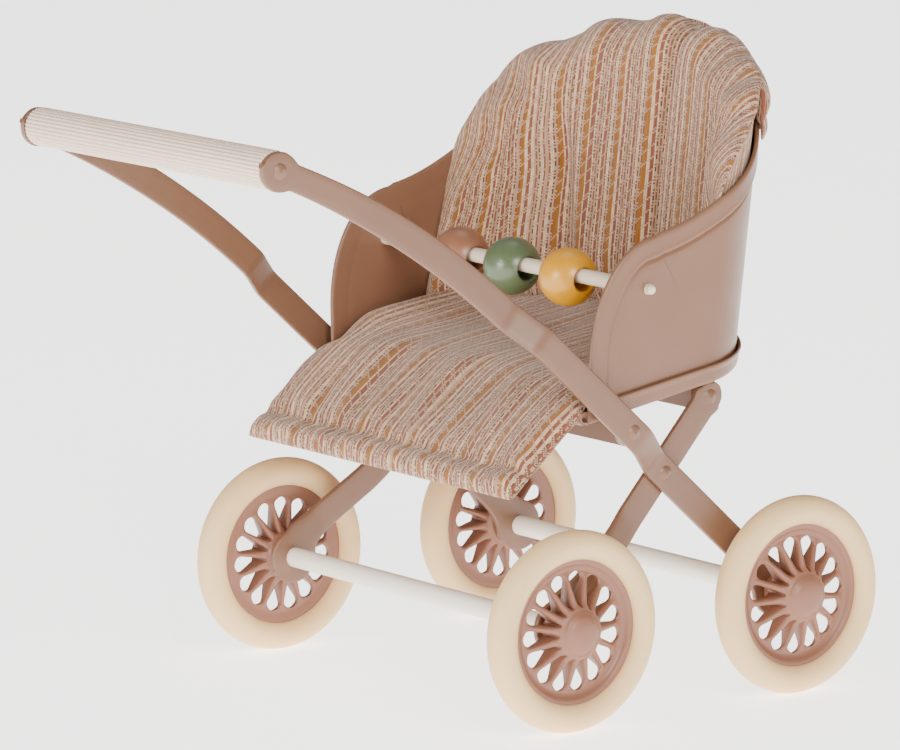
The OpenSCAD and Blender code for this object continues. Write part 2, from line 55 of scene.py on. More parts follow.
def middle(node):
    lo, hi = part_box(node)
    return (lo + hi) / 2 / MM


FRONT, REAR = middle("front_axle"), middle("rear_axle")
AXLE_Z, WHEELS_MIDDLE_Y = 15.94, 1.6
SHIFT = (FRONT.y + REAR.y) / 2 - WHEELS_MIDDLE_Y
LIFT = FRONT.z - AXLE_Z
FRONT_Y, REAR_Y = FRONT.y - SHIFT, REAR.y - SHIFT


# ---- Meshes ----


def outward(points, faces):
    """The faces, all turned round if the closed mesh they make is inside out."""
    fans = np.array([(f[0], f[i], f[i + 1]) for f in faces for i in range(1, len(f) - 1)])
    a, b, c = (points[fans[:, corner]] for corner in range(3))
    return [f[::-1] for f in faces] if np.sum(a * np.cross(b, c)) < 0 else faces


def place_object(name, data):
    obj = bpy.data.objects.new(name, data)
    bpy.context.scene.collection.objects.link(obj)
    return obj


def make(name, points, faces, material, slot, nodes=(), crease=40, body="frame"):
    """A closed mesh from points in millimetres in the side-view frame, on a body and in place of CAD nodes."""
    points = np.asarray(points, float)
    mesh = bpy.data.meshes.new(name)
    mesh.from_pydata(((points + (0, SHIFT, LIFT)) * MM).tolist(), [], outward(points, faces))
    mesh.validate()
    mesh.polygons.foreach_set("use_smooth", np.ones(len(mesh.polygons), bool))
    mesh.set_sharp_from_angle(angle=math.radians(crease))
    mesh.materials.append(material)
    obj = place_object(name, mesh)
    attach(obj, body)
    if nodes:
        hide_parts(*nodes)
    return obj


def skin(rows, closed_rows=True, caps=True):
    """Points and faces over rows of points, which are closed loops or open lines; both ends may be capped."""
    rows = [np.asarray(r, float) for r in rows]
    m = len(rows[0])
    points = np.concatenate(rows)
    faces = []
    for i in range(len(rows) - 1):
        for j in range(m if closed_rows else m - 1):
            k = (j + 1) % m
            faces.append((i * m + j, i * m + k, (i + 1) * m + k, (i + 1) * m + j))
    if caps:
        faces.append(tuple(range(m - 1, -1, -1)))
        faces.append(tuple((len(rows) - 1) * m + j for j in range(m)))
    return points, faces


def lathe(profile, steps):
    """Points and faces of a closed profile of (radius, height) turned about Z."""
    turn = np.linspace(0, 2 * math.pi, steps, endpoint=False)
    points = [(r * math.cos(a), r * math.sin(a), z) for r, z in profile for a in turn]
    faces = []
    for i in range(len(profile)):
        a, b = i * steps, (i + 1) % len(profile) * steps
        for j in range(steps):
            k = (j + 1) % steps
            faces.append((a + j, a + k, b + k, b + j))
    return np.array(points), faces


def along_x(points, side, at):
    """Points drawn about Z, turned so that Z points to the side's X, at (x, y, z)."""
    p = np.asarray(points, float)
    turned = np.stack([side * p[:, 2], p[:, 1], -side * p[:, 0]], axis=1)
    return turned + np.array(at, float)


def smooth(t):
    """0 up to t = 0 and 1 from t = 1 on, with an easy curve between."""
    t = min(max(t, 0.0), 1.0)
    return t * t * (3 - 2 * t)


def bell(x, width):
    """1 at 0, falling off to both sides over about width."""
    return math.exp(-((x / width) ** 2))


def edge_round(e, radius):
    """0 at a pad's edge and 1 from radius inwards, along a quarter circle."""
    t = min(max(e / radius, 0.0), 1.0)
    return math.sqrt(1 - (1 - t) ** 2)


def round_off(x, y, radius):
    """The larger of x and y, with the corner between them rounded."""
    weave_gap_shade = max(radius - abs(x - y), 0) / radius
    return max(x, y) + weave_gap_shade * weave_gap_shade * radius / 4


# ---- Materials ----


# Sockets of a colour Mix node
MIX_A, MIX_B, MIX_OUT = 6, 7, 2


class Nodes:
    """A new node material with the few calls that the materials below need."""

    def __init__(self, name, **shader):
        self.material = bpy.data.materials.new(name)
        self.material.use_nodes = True
        self.tree = self.material.node_tree
        self.shader = self.tree.nodes["Principled BSDF"]
        for socket, value in shader.items():
            self.shader.inputs[socket.replace("_", " ")].default_value = value

    def node(self, kind, **values):
        made = self.tree.nodes.new(kind)
        for key, value in values.items():
            setattr(made, key, value)
        return made

    def link(self, source, target):
        self.tree.links.new(source, target)

    def math(self, operation, *values):
        made = self.node("ShaderNodeMath", operation=operation)
        for socket, value in zip(made.inputs, values):
            if isinstance(value, (int, float)):
                socket.default_value = value
            else:
                self.link(value, socket)
        return made.outputs[0]

    def add(self, a, b):
        return self.math("ADD", a, b)

    def times(self, a, b):
        return self.math("MULTIPLY", a, b)

    def position(self):
        return self.node("ShaderNodeTexCoord").outputs["Object"]

    def noise(self, vector, scale, detail=2.0, stretch=None):
        if stretch:
            mapping = self.node("ShaderNodeMapping")
            mapping.inputs["Scale"].default_value = stretch
            self.link(vector, mapping.inputs["Vector"])
            vector = mapping.outputs["Vector"]
        made = self.node("ShaderNodeTexNoise")
        made.inputs["Scale"].default_value = scale
        made.inputs["Detail"].default_value = detail
        self.link(vector, made.inputs["Vector"])
        return made.outputs["Fac"]

    def ramp(self, factor, stops, interpolation="LINEAR"):
        """A colour ramp's outputs, Color and Alpha."""
        made = self.node("ShaderNodeValToRGB")
        ramp = made.color_ramp
        ramp.interpolation = interpolation
        while len(ramp.elements) < len(stops):
            ramp.elements.new(0.5)
        for element, (at, color) in zip(ramp.elements, stops):
            element.position = at
            element.color = color
        self.link(factor, made.inputs["Fac"])
        return made.outputs

    def tone(self, factor, *stops):
        return self.ramp(factor, stops)["Color"]

    def mix(self, factor, a, b, blend="MIX"):
        made = self.node("ShaderNodeMix", data_type="RGBA", blend_type=blend)
        for key, value in (("Factor", factor), (MIX_A, a), (MIX_B, b)):
            socket = made.inputs[key]
            if isinstance(value, (int, float, tuple)):
                socket.default_value = value
            else:
                self.link(value, socket)
        return made.outputs[MIX_OUT]

    def base(self, color):
        self.link(color, self.shader.inputs["Base Color"])

    def rough(self, factor, low, high):
        """Roughness that follows factor, between two stops of (place, roughness)."""
        value = self.tone(factor, *((at, grey(roughness)) for at, roughness in (low, high)))
        self.link(value, self.shader.inputs["Roughness"])

    def bump(self, height, strength, distance):
        made = self.node("ShaderNodeBump")
        made.inputs["Strength"].default_value = strength
        made.inputs["Distance"].default_value = distance
        self.link(height, made.inputs["Height"])
        self.link(made.outputs["Normal"], self.shader.inputs["Normal"])


def rgb(red, green, blue):
    """A colour given as it looks on a screen, from 0 to 255, as linear light with full alpha."""
    out = []
    for c in (red, green, blue):
        c /= 255
        out.append(c / 12.92 if c <= 0.04045 else ((c + 0.055) / 1.055) ** 2.4)
    return (*out, 1.0)


def shade(color, by):
    return (*(c * by for c in color[:3]), 1.0)


def grey(value):
    return (value, value, value, 1.0)


def painted_metal(name, color, gloss=0.38):
    """Thick satin enamel on pressed metal: slow changes of tone, a faint orange-peel skin and fine specks."""
    m = Nodes(name, Roughness=gloss, Coat_Weight=0.25, Coat_Roughness=0.3, Specular_IOR_Level=0.45)
    at = m.position()
    paint = m.tone(m.noise(at, 45, 3), (0.3, shade(color, 0.95)), (0.7, shade(color, 1.05)))
    specks = m.tone(m.noise(at, 2600, 1), (0.70, grey(0)), (0.76, grey(1)))
    m.base(m.mix(m.times(specks, 0.16), paint, shade(color, 1.35)))
    m.rough(m.noise(at, 160, 4), (0.25, gloss - 0.05), (0.75, gloss + 0.08))
    m.bump(m.noise(at, 900, 2), 0.12, 0.0001)
    return m.material


def moulded(name, color, gloss, soft=0.0):
    """Moulded plastic or rubber with a fine matt skin and slight clouding."""
    m = Nodes(name, Roughness=gloss, Subsurface_Weight=soft, Subsurface_Scale=0.004,
              Subsurface_Radius=(1.0, 0.6, 0.4))
    at = m.position()
    m.base(m.tone(m.noise(at, 60, 4), (0.3, shade(color, 0.95)), (0.7, shade(color, 1.04))))
    m.rough(m.noise(at, 240, 3), (0.3, gloss - 0.05), (0.7, gloss + 0.07))
    m.bump(m.noise(at, 1500, 3), 0.10, 0.0001)
    return m.material


def painted_wood(name, color, gloss, coat, grain_axis=(1, 1, 1), depth=0.12):
    """Paint over turned wood: faint grain lines show through in tone and in relief."""
    m = Nodes(name, Coat_Weight=coat, Coat_Roughness=0.2)
    at = m.position()
    grain = m.noise(at, 420, 4, stretch=grain_axis)
    m.base(m.tone(grain, (0.25, shade(color, 0.88)), (0.55, color), (0.8, shade(color, 1.08))))
    m.rough(m.noise(at, 300, 3), (0.3, gloss - 0.04), (0.7, gloss + 0.1))
    m.bump(grain, depth, 0.0002)
    return m.material


def painted_rod(name, color, depth=0.12):
    """Matt painted wood whose grain runs along X."""
    return painted_wood(name, color, 0.5, 0.05, (0.05, 1, 1), depth)


# The cloth's threads in millimetres. Warp stripes are (share of the repeat where the stripe starts, colour, how
# much of it lies on top: a crossing whose phase is below this shows the warp)
WARP_PITCH, PICK_PITCH, STRIPE_REPEAT = 0.31, 0.27, 7.2
CREAM, LINEN = rgb(220, 184, 148), rgb(184, 146, 116)
ROSE, OCHRE, TAUPE = rgb(140, 82, 62), rgb(158, 100, 38), rgb(104, 72, 50)
WEFT_DARK, WEFT_PALE = rgb(160, 124, 97), rgb(212, 178, 146)
STRIPES = [
    (0.00, OCHRE, 0.7), (0.115, CREAM, 0.56), (0.18, ROSE, 0.64), (0.28, CREAM, 0.56), (0.34, TAUPE, 0.4),
    (0.38, LINEN, 0.5), (0.42, ROSE, 0.6), (0.465, LINEN, 0.5), (0.50, TAUPE, 0.4), (0.54, CREAM, 0.56),
    (0.60, ROSE, 0.64), (0.68, LINEN, 0.5), (0.73, ROSE, 0.5), (0.78, CREAM, 0.56), (0.86, TAUPE, 0.42),
    (0.90, LINEN, 0.5), (0.95, ROSE, 0.5),
]


def striped_cloth(name):
    """A weave with warp stripes. The attribute cloth_at is a place on the flat cloth, across and along it."""
    m = Nodes(name, Roughness=0.92, Sheen_Weight=0.25, Sheen_Roughness=0.5, Specular_IOR_Level=0.2)
    place = m.node("ShaderNodeAttribute", attribute_name="cloth_at").outputs["Vector"]
    parts = m.node("ShaderNodeSeparateXYZ")
    m.link(place, parts.inputs["Vector"])

    def drifting(place_along, noise, amount):
        return m.add(place_along, m.times(m.math("SUBTRACT", noise, 0.5), amount))

    across = drifting(parts.outputs["X"], m.noise(place, 0.22, 2, stretch=(1, 0.35, 1)), 0.9)
    along = drifting(parts.outputs["Y"], m.noise(place, 0.3, 2), 0.8)
    warp, pick = m.math("DIVIDE", across, WARP_PITCH), m.math("DIVIDE", along, PICK_PITCH)
    warp_at, pick_at = m.math("FRACT", warp), m.math("FRACT", pick)
    warp_no, pick_no = m.math("FLOOR", warp), m.math("FLOOR", pick)
    repeat = m.math("FRACT", m.math("DIVIDE", m.times(warp_no, WARP_PITCH), STRIPE_REPEAT))
    stripe = m.ramp(repeat, [(at, (*color[:3], on_top)) for at, color, on_top in STRIPES], "CONSTANT")

    # Plain weave, over and under in turn, with odd crossings spread through it
    plain = m.math("FRACT", m.times(m.add(warp_no, pick_no), 0.5))
    odd = m.math("FRACT", m.add(m.times(warp_no, 0.618), m.times(pick_no, 0.382)))
    warp_up = m.math("LESS_THAN", m.add(m.times(plain, 0.6), m.times(odd, 0.5)), stripe["Alpha"])

    slub = m.noise(place, 2.2, 3, stretch=(1, 0.12, 1))
    fibre = m.noise(place, 9.0, 2)
    color = m.mix(warp_up, m.tone(fibre, (0.3, WEFT_DARK), (0.7, WEFT_PALE)), stripe["Color"])
    color = m.mix(1.0, color, m.tone(slub, (0.3, (0.80, 0.79, 0.78, 1)), (0.7, grey(1.08))), "MULTIPLY")
    color = m.mix(1.0, color, m.tone(fibre, (0.25, (0.88, 0.87, 0.86, 1)), (0.7, grey(1.06))), "MULTIPLY")

    def hump(at):
        off = m.math("SUBTRACT", at, 0.5)
        return m.math("SUBTRACT", 1.0, m.times(m.times(off, off), 3.6))

    over = m.times(hump(warp_at), m.add(0.45, m.times(warp_up, 0.55)))
    under = m.times(hump(pick_at), m.math("SUBTRACT", 0.8, m.times(warp_up, 0.5)))
    height = m.math("MAXIMUM", over, under)
    # Painted shade: the low places between the threads are darkened in the colour, down to about half, as if in
    # their own shadow
    weave_gap_shade = m.tone(height, (0.25, (0.55, 0.52, 0.5, 1)), (0.6, grey(1)))
    m.base(m.mix(0.8, color, m.mix(1.0, color, weave_gap_shade, "MULTIPLY")))
    m.bump(height, 0.55, 0.00016)
    return m.material


FRAME_PAINT = painted_metal("frame_paint", rgb(119, 84, 62))
SEAT_PAINT = painted_metal("seat_paint", rgb(124, 86, 63), 0.42)
STEEL = painted_metal("steel", rgb(186, 160, 140), 0.32)
RIM_PAINT = moulded("rim_paint", rgb(140, 94, 73), 0.4)
TYRE_CREAM = moulded("tyre_cream", rgb(236, 198, 142), 0.5, 0.12)
AXLE_CREAM = painted_rod("axle_cream", rgb(246, 236, 220))
BAR_CREAM = painted_rod("bar_cream", rgb(226, 205, 182))
GRIP_CREAM = painted_rod("grip_cream", rgb(236, 211, 188), 0.08)
CLOTH = striped_cloth("striped_cloth")
BEAD_COLORS = {"pink": rgb(144, 94, 67), "green": rgb(86, 100, 68), "yellow": rgb(214, 148, 4)}
BEAD_PAINTS = {name: painted_wood(f"bead_{name}", color, 0.3, 0.3) for name, color in BEAD_COLORS.items()}


# ---- Wheels ----

RIM_R, HUB_R, OPENINGS, SPOKE_POINTS = 12.0, 3.65, 15, 9
# A teardrop opening: (radius of the centre, own radius) of its tip's arc and of its wide end's arc
TIP_R, TIP_HALF = 4.45, 0.3
WIDE_R, WIDE_HALF = 8.66, 1.3
OPENING_END = WIDE_R + WIDE_HALF
BLEND_R, WHEEL_TURN = 0.9, 7.0
# Turned sections, as (radius, height): the lip and edge of the rim, the hub's dome, and its boss at the back
RIM_LIP = [
    (10.3, 0.08), (10.7, 0.26), (11.0, 0.55), (11.2, 0.80), (11.5, 0.93), (RIM_R, 0.92), (RIM_R, 0),
    (RIM_R, -0.92), (11.6, -0.95), (11.2, -0.90), (10.5, -0.74),
]
HUB_NECK = [(3.98, 2.50), (3.82, 2.60), (HUB_R, 2.76), (3.52, 2.98), (3.3, 3.14)]
DOME_R, DOME_Z, DOME_H = 3.18, 3.14, 0.86
DOME_TURN = np.linspace(0.12, 1.45, 7)
HUB_DOME = HUB_NECK + [(DOME_R * math.cos(a), DOME_Z + DOME_H * math.sin(a)) for a in DOME_TURN]
HUB_BOSS = [(4.0, -2.45), (3.82, -2.8), (3.62, -3.0), (3.4, -3.09), (2.2, -3.09)]
TYRE_RING_R, TYRE_SECTION_R, TYRE_BED_HALF = 14.2, 2.5, 1.0


def opening_rows():
    """(radius, half-width) along one teardrop opening, from its tip near the hub to its round outer end."""
    slant = math.asin((WIDE_HALF - TIP_HALF) / (WIDE_R - TIP_R))
    rows = []
    for a in np.linspace(0, math.pi / 2 - slant, 5):
        rows.append((TIP_R - TIP_HALF * math.cos(a), TIP_HALF * math.sin(a)))
    start, end = rows[-1], (WIDE_R - WIDE_HALF * math.sin(slant), WIDE_HALF * math.cos(slant))
    for t in np.linspace(0, 1, 9)[1:]:
        rows.append((start[0] + (end[0] - start[0]) * t, start[1] + (end[1] - start[1]) * t))
    for a in np.linspace(math.pi / 2 + slant, 0, 12)[1:]:
        rows.append((WIDE_R + WIDE_HALF * math.cos(a), WIDE_HALF * math.sin(a)))
    return rows


def front_height(r):
    """Height of the spokes' outer face at a radius: it climbs to the hub and turns up against it."""
    return 0.05 + (OPENING_END - r) * 0.37 + 0.25 * smooth((5.0 - r) / 0.9)


def back_height(r):
    return -0.7 - (OPENING_END - r) * 0.22 - 0.2 * smooth((5.4 - r) / 1.4)


def rim_mesh():
    """A wheel's rim about Z, outer face up: round-backed spokes between drafted openings, a ring and a hub."""
    rows = opening_rows()
    first, last = 0, len(rows) - 1
    step = 2 * math.pi / OPENINGS
    ring = OPENINGS * (SPOKE_POINTS - 1)
    points, faces = [], []

    def spoke_layer(height, draft, crown):
        """Indices [row][spoke][across] of one face. Neighbours share a point where an opening closes."""
        layer = []
        for n, (r, half) in enumerate(rows):
            crowned = crown * smooth((r - rows[first][0]) / BLEND_R) * smooth((rows[last][0] - r) / BLEND_R)
            closed = n in (first, last)
            row = []
            for spoke in range(OPENINGS):
                line = []
                for s in np.linspace(-1, 1, SPOKE_POINTS)[: SPOKE_POINTS - closed]:
                    a = step * (spoke + 0.5) + s * (step / 2 - half * draft / r)
                    line.append(len(points))
                    points.append((r * math.cos(a), r * math.sin(a), height(r) - crowned * s * s))
                row.append(line)
            if closed:
                starts = [line[0] for line in row]
                row = [line + [following] for line, following in zip(row, starts[1:] + starts[:1])]
            layer.append(row)
        return layer

    front = spoke_layer(front_height, draft=1.0, crown=0.5)
    back = spoke_layer(back_height, draft=1.1, crown=-0.3)
    for n in range(last):
        for spoke in range(OPENINGS):
            for j in range(SPOKE_POINTS - 1):
                for layer, order in ((front, -1), (back, 1)):
                    near, far = layer[n][spoke], layer[n + 1][spoke]
                    faces.append((near[j], near[j + 1], far[j + 1], far[j])[::order])
            for j, order in ((0, -1), (-1, 1)):
                quad = (front[n][spoke][j], front[n + 1][spoke][j], back[n + 1][spoke][j], back[n][spoke][j])
                faces.append(quad[::order])

    def ring_of(layer, n):
        return [index for line in layer[n] for index in line[:-1]]

    front_outer, front_inner = ring_of(front, last), ring_of(front, first)
    back_outer, back_inner = ring_of(back, last), ring_of(back, first)
    turns = [math.atan2(points[index][1], points[index][0]) for index in front_outer]

    def full_rings(section):
        rings = []
        for r, z in section:
            rings.append(list(range(len(points), len(points) + ring)))
            points.extend((r * math.cos(a), r * math.sin(a), z) for a in turns)
        return rings

    def join(rings, order):
        for a, b in zip(rings, rings[1:]):
            for i in range(ring):
                k = (i + 1) % ring
                faces.append((a[i], a[k], b[k], b[i])[::order])

    join([front_outer, *full_rings(RIM_LIP), back_outer], -1)
    dome = full_rings(HUB_DOME)
    join([front_inner, *dome], 1)
    boss = full_rings(HUB_BOSS)
    join([back_inner, *boss], -1)
    faces += [tuple(dome[-1]), tuple(boss[-1][::-1])]
    return np.array(points), faces


def tyre_mesh():
    """A round rubber ring, cut flat where it sits on the rim."""
    meet = math.acos((RIM_R - TYRE_RING_R) / TYRE_SECTION_R)
    profile = [(TYRE_RING_R + TYRE_SECTION_R * math.cos(a), TYRE_SECTION_R * math.sin(a))
               for a in np.linspace(-meet, meet, 44)]
    profile += [(RIM_R - 0.02, TYRE_BED_HALF), (RIM_R - 0.02, -TYRE_BED_HALF)]
    return lathe(profile, 144)


RIM_POINTS, RIM_FACES = rim_mesh()
TYRE_POINTS, TYRE_FACES = tyre_mesh()


def wheel(end, side_name, turn):
    """A rim and its tyre on the axle at one end and side, turned by an angle in degrees."""
    rim, tyre, body = f"wheel_rim_{end}_{side_name}", f"tyre_{end}_{side_name}", f"{end}_wheelset"
    side = SIDES[side_name]
    at = (side * abs(middle(tyre).x), REAR_Y if end == "rear" else FRONT_Y, AXLE_Z)
    c, s = math.cos(math.radians(turn)), math.sin(math.radians(turn))
    turned = RIM_POINTS @ np.array([[c, s, 0], [-s, c, 0], [0, 0, 1]])
    for name, points, faces, material, slot, node in (
            ("rim", turned, RIM_FACES, RIM_PAINT, "rim_paint", rim),
            ("tyre_band", TYRE_POINTS, TYRE_FACES, TYRE_CREAM, "tyre", tyre)):
        make(f"{name}_{end}_{side_name}", along_x(points, side, at), faces, material, slot, [node], 50, body)


# ---- Strips: arms and legs ----

STRIP_T, STRIP_HALF, STRIP_CORNER, CORNER_POINTS = 1.1, 2.5, 0.32, 4
HANDLE = (middle("handle_rod").y - SHIFT, middle("handle_rod").z - LIFT)


def strip_loop(half):
    """Loop of (across, through) round a strip's section: flat faces with rounded corners."""
    corner = min(STRIP_CORNER, half * 0.9)
    x, y = half - corner, STRIP_T / 2 - corner
    loop = []
    for cx, cy, start in ((x, y, 0), (-x, y, 90), (-x, -y, 180), (x, -y, 270)):
        for a in np.radians(np.linspace(start, start + 90, CORNER_POINTS)):
            loop.append((cx + corner * math.cos(a), cy + corner * math.sin(a)))
        if start in (0, 180):
            sign = 1 if start == 0 else -1
            loop.extend((sign * x * share, sign * STRIP_T / 2) for share in (0.5, 0, -0.5))
    return loop


def resample(path, spacing):
    """The path's points at even steps of about spacing, and how far along the path each one is."""
    path = np.asarray(path, float)
    run = np.concatenate([[0], np.cumsum(np.linalg.norm(np.diff(path, axis=0), axis=1))])
    at = np.linspace(0, run[-1], max(int(run[-1] / spacing), 2) + 1)
    return np.stack([np.interp(at, run, path[:, i]) for i in range(path.shape[1])], axis=1), at


def strip(name, path, side, outer_x, half_at, eyes, node):
    """A flat strip along a side-view path, 2 half_at(y) wide, with its outside face at outer_x(y).

    It is wider at each eye: (distance along the path, radius, length over which the eye tapers into the strip).
    """
    line, at = resample(path, 0.5)
    total = at[-1]

    def place(d):
        d = min(max(d, 0), total)
        return np.array([np.interp(d, at, line[:, 0]), np.interp(d, at, line[:, 1])])

    ends = np.linspace(0, 0.5, 5)[1:-1] ** 1.5
    rows = []
    for d in np.unique(np.concatenate([[0.02], ends, at[1:-1], total - ends, [total - 0.02]])):
        p = place(d)
        way = place(d + 0.6) - place(d - 0.6)
        way /= np.linalg.norm(way)
        half = half_at(p[0])
        for centre, radius, taper in eyes:
            off = d - centre
            disc = math.sqrt(max(radius * radius - off * off, 0))
            beyond = (centre < total / 2 and off < 0) or (centre > total / 2 and off > 0)
            flank = radius * (1 - abs(off) / taper)
            half = disc if beyond else round_off(half, max(disc, flank), 1.6)
        x = side * (outer_x(p[0]) - STRIP_T / 2)
        rows.append([(x + side * through, p[0] - way[1] * out, p[1] + way[0] * out)
                     for out, through in strip_loop(max(half, 0.03))])
    make(name, *skin(rows), FRAME_PAINT, "frame_paint", [node])


# An arm in side view: its straight part's slope in degrees and one point on it, and the arc up to the handle
ARM_SLOPE, ARM_THROUGH = 42.2, (24.7, 17.5)
ARM_BEND_R, ARM_BEND_TURN, ARM_BEND_Y = 150.0, 20.4, -30.0
# How far out its outside face is at the handle, above the upper step, beside the seat and at the axle
ARM_OUT_HANDLE, ARM_OUT_STEP, ARM_OUT_SEAT, ARM_OUT_AXLE = 34.5, 35.8, 38.9, 35.6
UPPER_STEP, LOWER_STEP = (-30.8, -26.2), (-5.5, -0.5)
ARM_HALF_HANDLE, ARM_WIDENS = 2.15, 25.0
LEG_OUT, LEG_OUT_FOOT, LEG_SPLAY = ARM_OUT_AXLE - STRIP_T - 0.1, 37.3, (-5.0, -16.5)
LEG_TOP, LEG_BEND = np.array([12.0, 49.9]), np.array([-6.6, 29.4])
# An eye's (radius, taper)
HANDLE_EYE, AXLE_EYE, LEG_TOP_EYE = (3.2, 4), (4.5, 12), (2.6, 4)


def arm_line_z(y):
    return ARM_THROUGH[1] + (ARM_THROUGH[0] - y) * math.tan(math.radians(ARM_SLOPE))


def bent(y, start, end):
    """0 before start and 1 after end, straight between them with the two bends rounded a little."""
    return float(np.mean([np.clip((y + off - start) / (end - start), 0, 1) for off in (-0.6, -0.2, 0.2, 0.6)]))


def arm_outer(y):
    """An arm steps out to pass the seat, and in again to the axle."""
    near = min(1, (y - HANDLE[0]) / (UPPER_STEP[0] - HANDLE[0]))
    out = ARM_OUT_HANDLE + (ARM_OUT_STEP - ARM_OUT_HANDLE) * near
    out += (ARM_OUT_SEAT - ARM_OUT_STEP) * bent(y, *UPPER_STEP)
    return out - (ARM_OUT_SEAT - ARM_OUT_AXLE) * bent(y, *LOWER_STEP)


def arm_half(y):
    return ARM_HALF_HANDLE + (STRIP_HALF - ARM_HALF_HANDLE) * smooth((y - HANDLE[0]) / ARM_WIDENS)


def leg_outer(y):
    """A leg runs inside the arm and splays out towards the front axle."""
    return LEG_OUT + (LEG_OUT_FOOT - LEG_OUT) * bent(-y, -LEG_SPLAY[0], -LEG_SPLAY[1])


def arm_path():
    """From past the handle's axis along the arc, down the straight strip and into the eye at the rear axle."""
    slope = math.radians(ARM_SLOPE)
    centre_y = ARM_BEND_Y - ARM_BEND_R * math.sin(slope)
    centre_z = arm_line_z(ARM_BEND_Y) - ARM_BEND_R * math.cos(slope)
    start = math.pi / 2 - slope
    past = start + math.radians(ARM_BEND_TURN) + HANDLE_EYE[0] / ARM_BEND_R
    arc = [(centre_y + ARM_BEND_R * math.cos(a), centre_z + ARM_BEND_R * math.sin(a))
           for a in np.linspace(past, start, 40)]
    line = [(y, arm_line_z(y)) for y in np.linspace(ARM_BEND_Y + 1, REAR_Y - 7, 40)]
    foot = [(-3.0, 3.5), (-1.3, 1.5), (0, 0), (2.9, -3.44)]
    return arc + line + [(REAR_Y + y, AXLE_Z + z) for y, z in foot]


def leg_path():
    """From past the rivet at the leg's top, round the slight bend and into the eye at the front axle."""
    away = (LEG_TOP - LEG_BEND) / np.linalg.norm(LEG_TOP - LEG_BEND)
    foot = np.array([FRONT_Y + 2.1, AXLE_Z + 3.4])
    down = (foot - LEG_BEND) / np.linalg.norm(foot - LEG_BEND)
    before, after = LEG_BEND + away * 3, LEG_BEND + down * 3
    bend = [before + (LEG_BEND - before) * t * (2 - t) + (after - LEG_BEND) * t * t
            for t in np.linspace(0, 1, 9)]
    top = LEG_TOP + away * LEG_TOP_EYE[0]
    return [top, *bend, foot, (FRONT_Y, AXLE_Z), (FRONT_Y - 2.4, AXLE_Z - 3.8)]


def reach_of(path, point):
    """How far along the path its closest place to a point is."""
    line, run = resample(path, 0.1)
    return float(run[np.argmin(np.linalg.norm(line - np.array(point), axis=1))])


def arms_and_legs():
    arm, leg = arm_path(), leg_path()
    arm_eyes = [(reach_of(arm, HANDLE), *HANDLE_EYE), (reach_of(arm, (REAR_Y, AXLE_Z)), *AXLE_EYE)]
    leg_eyes = [(reach_of(leg, LEG_TOP), *LEG_TOP_EYE), (reach_of(leg, (FRONT_Y, AXLE_Z)), *AXLE_EYE)]
    for name, side in SIDES.items():
        strip(f"arm_{name}", arm, side, arm_outer, arm_half, arm_eyes, f"handle_arm_{name}")
        strip(f"leg_strip_{name}", leg, side, leg_outer, lambda y: STRIP_HALF, leg_eyes, f"leg_{name}")


# ---- Handle grip ----

GRIP_R, FLUTES, FLUTE_DEPTH = 3.2, 30, 0.20
# The grip's rounded end, as (distance in from the end, share of the radius)
GRIP_END = [(0, 0.5), (0, 0.955), (0.08, 0.985), (0.25, 1.0)]


def grip():
    """The fluted sleeve, with slightly rounded ends."""
    low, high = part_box("handle_grip")
    half = (high.x - low.x) / 2 / MM
    turn = np.linspace(0, 2 * math.pi, FLUTES * 10, endpoint=False)
    flute = FLUTE_DEPTH * (1 - np.abs(np.cos(turn * FLUTES / 2)) ** 0.6)
    stations = [(-half + x, size) for x, size in GRIP_END]
    stations += [(x, 1.0) for x in np.linspace(-half + 2, half - 2, 24)]
    stations += [(half - x, size) for x, size in reversed(GRIP_END)]
    rows = []
    for x, size in stations:
        r = (GRIP_R - flute) * size
        row = [np.full_like(turn, x), HANDLE[0] + r * np.cos(turn), HANDLE[1] + r * np.sin(turn)]
        rows.append(np.stack(row, axis=1))
    make("grip_sleeve", *skin(rows), GRIP_CREAM, "grip_cream", ["handle_grip"], 30, "grip")


# ---- Bucket ----

SEAT_HALF_W, SEAT_ROUND, SEAT_ROUND_Y, SEAT_FRONT_Y = 36.4, 19.4, 10.6, -14.4
SEAT_T, SHELL_GAP, LEAN, SPREAD = 0.5, 0.1, 0.091, 0.03
TILT_ANGLE = math.radians(9.1)
TILT = math.tan(TILT_ANGLE)
RIM_TOP, RIM_BAND = 54.0, 3.2
PAN_UNDER = RIM_TOP - RIM_BAND / math.cos(TILT_ANGLE)
ARMREST_Z, BACK_TOP_Z, WAVE_HALF, CORNER_W, CORNER_DROP = 78.3, 106.5, 64.0, 14.0, 20.0
# Heights where the sheet has its named width, and where its girth is measured
SHELL_BASE_Z, GIRTH_Z = 55.0, 85.0


def on_shell(side, t, z, inset):
    """A point on the bent sheet. t from 0 to 90 goes round the back, and from 90 to 91 forward along a side."""
    rise = z - SHELL_BASE_Z
    a = SEAT_HALF_W - SEAT_T - SHELL_GAP - inset + SPREAD * rise
    b = SEAT_ROUND - SEAT_T - SHELL_GAP - inset + SPREAD * rise
    y0 = SEAT_ROUND_Y + LEAN * rise
    q, angle = max(t - 90.0, 0.0), math.radians(min(t, 90.0))
    return np.array([side * a * math.sin(angle), y0 + b * math.cos(angle) + (SEAT_FRONT_Y - y0) * q, z])


SHELL_T = np.concatenate([np.linspace(0, 90, 61), 90 + np.linspace(0, 1, 31)[1:]])
GIRTH_LINE = np.array([on_shell(1, t, GIRTH_Z, 0) for t in SHELL_T])
SHELL_G = np.concatenate([[0], np.cumsum(np.linalg.norm(np.diff(GIRTH_LINE, axis=0), axis=1))])
GIRTH_END = float(SHELL_G[-1])


def at_girth(g, z, inset):
    """The point at girth distance g from the middle of the back, at height z, inset from the outside."""
    return on_shell(1 if g >= 0 else -1, float(np.interp(abs(g), SHELL_G, SHELL_T)), z, inset)


